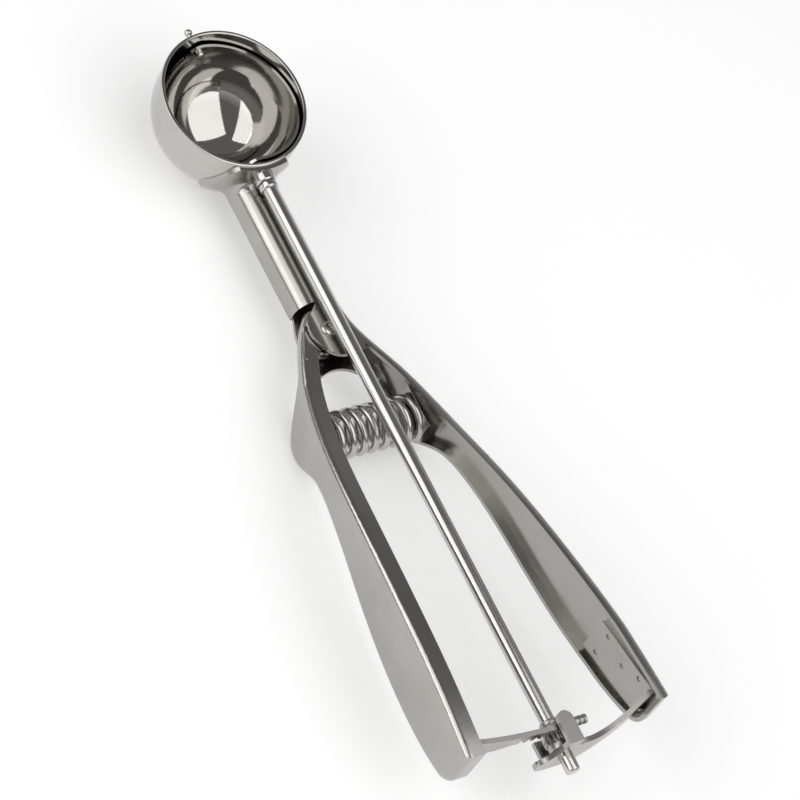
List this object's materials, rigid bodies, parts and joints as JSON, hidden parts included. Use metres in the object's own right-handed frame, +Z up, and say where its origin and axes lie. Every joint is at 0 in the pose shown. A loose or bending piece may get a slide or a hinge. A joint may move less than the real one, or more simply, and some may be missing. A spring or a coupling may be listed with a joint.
{
  "type": "lever ice cream scoop",
  "caption": "Ice cream scoop whose squeezed handles drive a rack and pinion that sweeps a scraper blade round its bowl.",
  "frame": {"origin": "below the middle of the whole scoop's length, in the plane of the rod, on the level of the bowl's lowest point", "axes": "+X towards the bowl's tip, +Y to the moving handle, +Z up out of the bowl's mouth"},
  "size_m": [0.2342, 0.0634, 0.0314],
  "materials": {
    "bowl_steel": "mirror polished",
    "sheet_steel": "polished",
    "blade_steel": "polished",
    "rod_steel": "polished",
    "spring_steel": "bright drawn",
    "gear_steel": "machined",
    "bracket_steel": "satin"
  },
  "bodies": {
    "fixed_frame": {"neck_handle": "sheet_steel", "bowl": "bowl_steel", "rod_bushing": "rod_steel", "hinge_pin": "rod_steel", "spring_seat_right": "sheet_steel", "return_spring": "spring_steel", "rod_bracket": "bracket_steel"},
    "lever": {"squeeze_handle": "sheet_steel", "spring_seat_left": "sheet_steel", "rack_arm": "bracket_steel", "rack_stop": "gear_steel"},
    "scraper": {"scraper_rod": "rod_steel", "scraper_blade": "blade_steel", "tip_pin": "rod_steel", "front_collar": "rod_steel", "rear_collar": "gear_steel", "pinion": "gear_steel", "thrust_washer": "gear_steel"}
  },
  "joints": [
    {"name": "squeeze", "type": "hinge", "parent": "fixed_frame", "child": "lever", "pos_m": [0.02022, 0.0016, 0.0138], "axis": [0, 0, 1], "range_deg": [0, 4.27], "stiffness_Nm_per_rad": 6, "springref_deg": -2.86, "deforming": ["return_spring"]},
    {"name": "scraper_turn", "type": "hinge", "parent": "fixed_frame", "child": "scraper", "pos_m": [0, 0, 0.021], "axis": [1, 0, 0], "range_deg": [0, 172]}
  ],
  "couplings": [
    {"joint": "scraper_turn", "follows": "squeeze", "ratio": 40.191}
  ]
}
